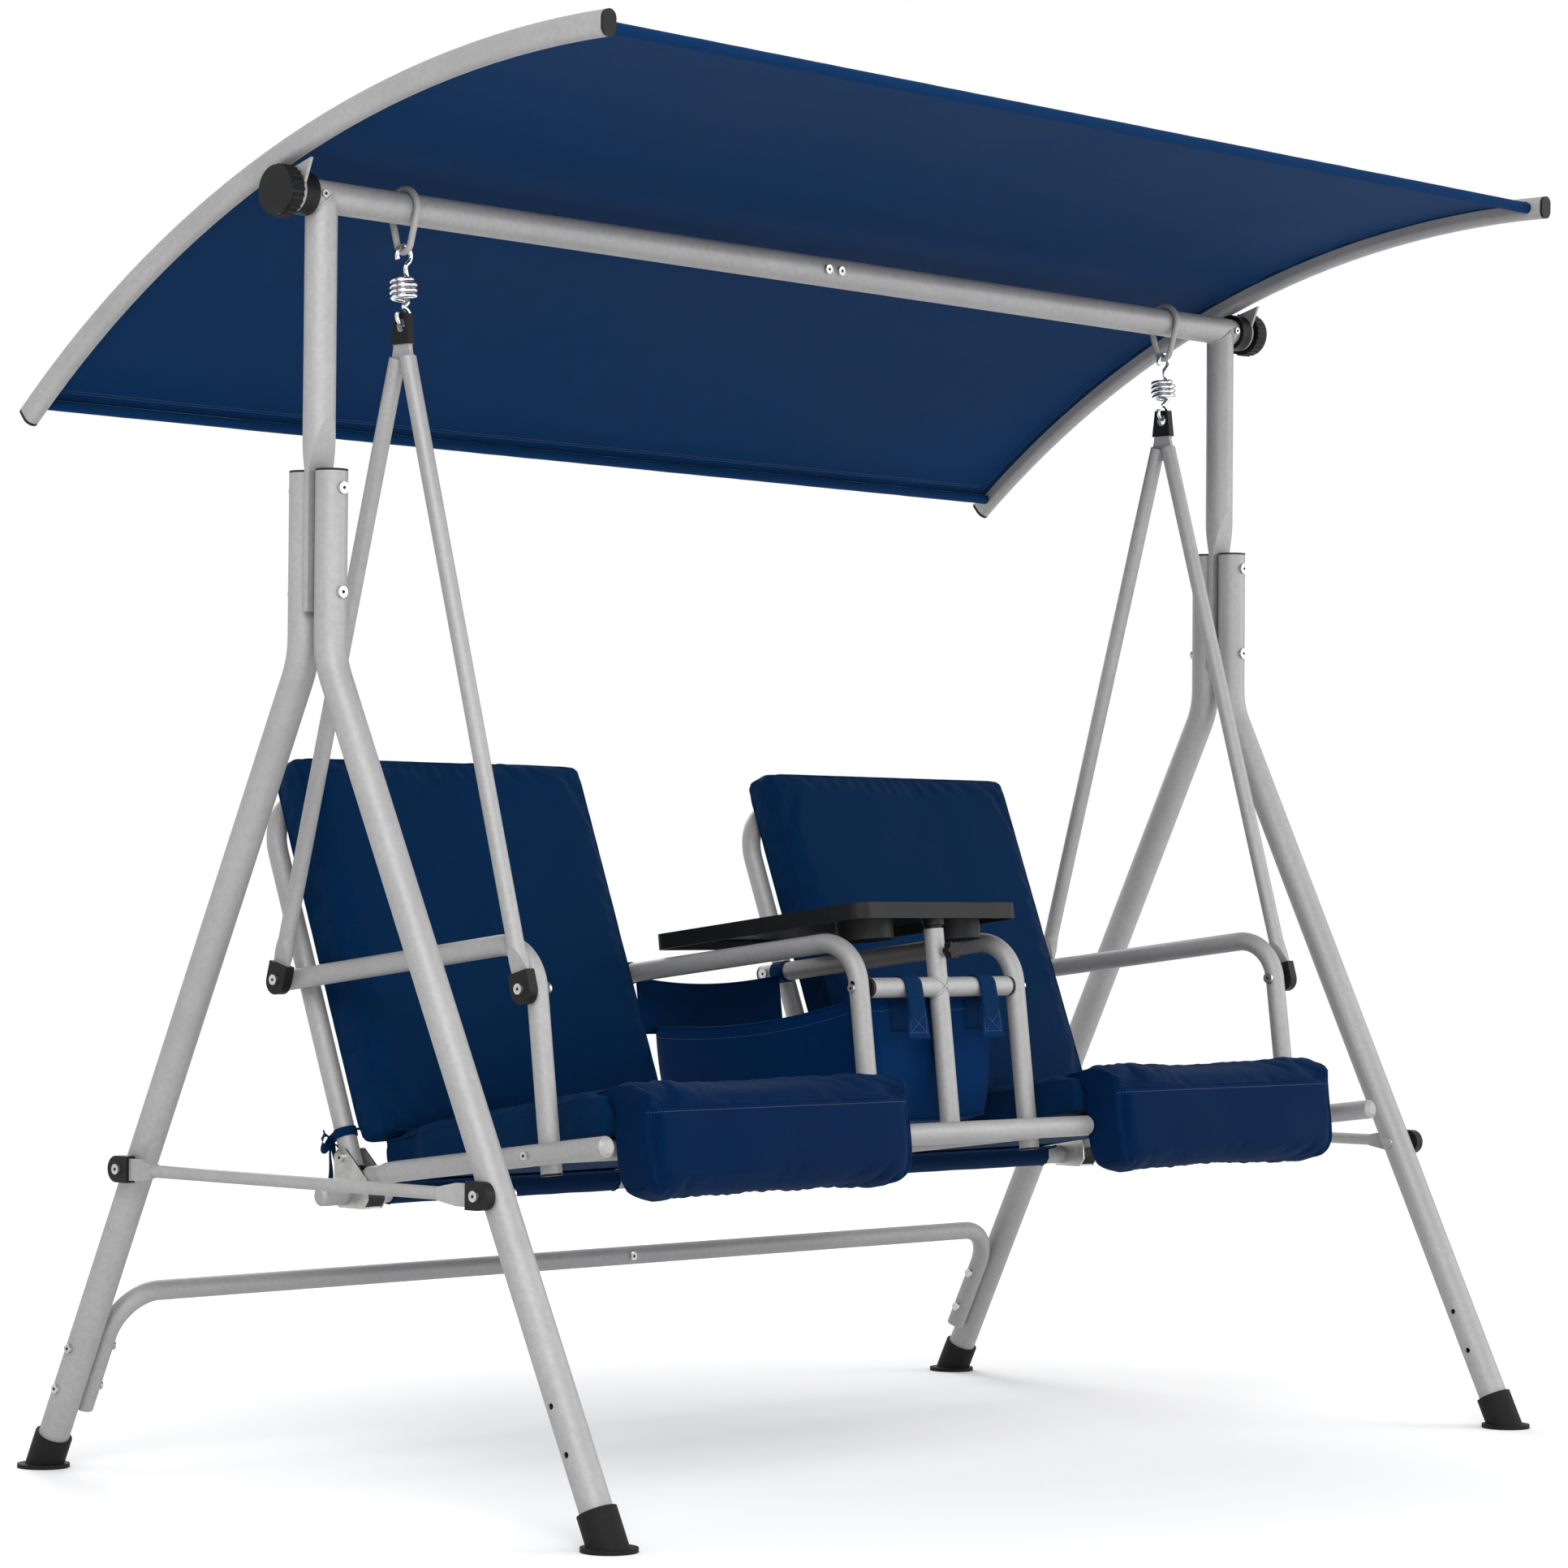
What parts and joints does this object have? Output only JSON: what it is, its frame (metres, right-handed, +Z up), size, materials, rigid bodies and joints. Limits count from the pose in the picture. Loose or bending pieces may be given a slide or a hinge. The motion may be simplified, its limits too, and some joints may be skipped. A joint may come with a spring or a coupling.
{
  "type": "glider swing",
  "caption": "Freestanding sprung patio swing: splayed tube stand, tilting arched canopy, two reclined padded seats, storage bag and a swivelling centre table with cup holders.",
  "frame": {"origin": "on the ground, midway between the four feet, under the top crossbar", "axes": "+X along the crossbar to the sitter's left as seen from the front right, -Y the way the seats face, +Z up"},
  "size_m": [1.8208, 1.0538, 1.6589],
  "materials": {
    "silver_paint": "light silver-grey textured powder coat",
    "zinc_steel": "bright zinc plate",
    "spring_chrome": "bright plated spring wire",
    "black_plastic": "satin charcoal-black moulded plastic",
    "canopy_cloth": "navy woven polyester, coated",
    "sling_cloth": "navy open-weave sling",
    "cushion_cloth": "navy woven polyester over fibre filling",
    "bag_cloth": "navy woven polyester"
  },
  "bodies": {
    "stand": {"leg_front_left": "silver_paint", "leg_front_right": "silver_paint", "leg_rear_left": "silver_paint", "leg_rear_right": "silver_paint", "upright_left": "silver_paint", "upright_right": "silver_paint", "crossbar_left": "silver_paint", "crossbar_right": "silver_paint", "frame_bolts": "zinc_steel", "leg_plugs": "black_plastic", "foot_caps": "black_plastic", "brace_left": "silver_paint", "brace_right": "silver_paint", "brace_covers": "black_plastic", "rear_bar_left": "silver_paint", "rear_bar_right": "silver_paint", "hanger_loops": "silver_paint", "fixed_ratchets": "black_plastic"},
    "canopy": {"canopy_bar_left": "silver_paint", "canopy_bar_right": "silver_paint", "canopy_brackets": "silver_paint", "canopy_ratchets": "black_plastic", "canopy_plugs": "black_plastic", "canopy_spreaders": "silver_paint", "canopy_fabric": "canopy_cloth"},
    "canopy_knob_left": {"knob_left": "black_plastic"},
    "canopy_knob_right": {"knob_right": "black_plastic"},
    "springs": {"spring_left": "spring_chrome", "spring_right": "spring_chrome"},
    "seat_unit": {"hanger_left": "silver_paint", "hanger_right": "silver_paint", "hanger_sleeves": "black_plastic", "hanger_covers": "black_plastic", "armrest_outer_left": "silver_paint", "armrest_outer_right": "silver_paint", "armrest_inner_left": "silver_paint", "armrest_inner_right": "silver_paint", "seat_frame_left": "silver_paint", "seat_frame_right": "silver_paint", "console_frame": "silver_paint", "rear_cross_tube": "silver_paint", "back_frame_left": "silver_paint", "back_frame_right": "silver_paint", "rear_brackets": "zinc_steel", "seat_bolts": "zinc_steel", "tube_plugs": "black_plastic", "sling_left": "sling_cloth", "sling_right": "sling_cloth", "seat_cushion_left": "cushion_cloth", "seat_cushion_right": "cushion_cloth", "back_cushion_left": "cushion_cloth", "back_cushion_right": "cushion_cloth", "cushion_ties": "cushion_cloth", "table_post": "silver_paint", "storage_bag": "bag_cloth", "bag_straps": "bag_cloth"},
    "table_height_stem": {"table_stem": "black_plastic"},
    "table_top": {"table_tray": "black_plastic", "cup_wells": "black_plastic"},
    "table_clamp": {"star_knob": "black_plastic"}
  },
  "joints": [
    {"name": "canopy_tilt", "type": "hinge", "parent": "stand", "child": "canopy", "pos_m": [0, 0, 1.512], "axis": [1, 0, 0], "range_deg": [-15, 25]},
    {"name": "canopy_knob_left_turn", "type": "hinge", "parent": "stand", "child": "canopy_knob_left", "pos_m": [-0.898, 0, 1.512], "axis": [1, 0, 0], "continuous": true},
    {"name": "canopy_knob_right_turn", "type": "hinge", "parent": "stand", "child": "canopy_knob_right", "pos_m": [0.898, 0, 1.512], "axis": [1, 0, 0], "continuous": true},
    {"name": "glide_swing", "type": "hinge", "parent": "stand", "child": "springs", "pos_m": [0, 0, 1.473], "axis": [1, 0, 0], "range_deg": [-20, 20]},
    {"name": "spring_bounce", "type": "slide", "parent": "springs", "child": "seat_unit", "axis": [0, 0, 1], "range_m": [-0.02, 0], "stiffness_N_per_m": 15000, "springref_m": 0.0176, "deforming": ["spring_left", "spring_right"]},
    {"name": "table_height", "type": "slide", "parent": "seat_unit", "child": "table_height_stem", "axis": [0, 0.1253, 0.9921], "range_m": [0, 0.05]},
    {"name": "table_swivel", "type": "hinge", "parent": "table_height_stem", "child": "table_top", "pos_m": [0, -0.20753, 0.67773], "axis": [0, 0.1253, 0.9921], "continuous": true},
    {"name": "table_clamp_turn", "type": "hinge", "parent": "seat_unit", "child": "table_clamp", "pos_m": [0, -0.22866, 0.63807], "axis": [0, -0.9921, 0.1253], "continuous": true}
  ]
}
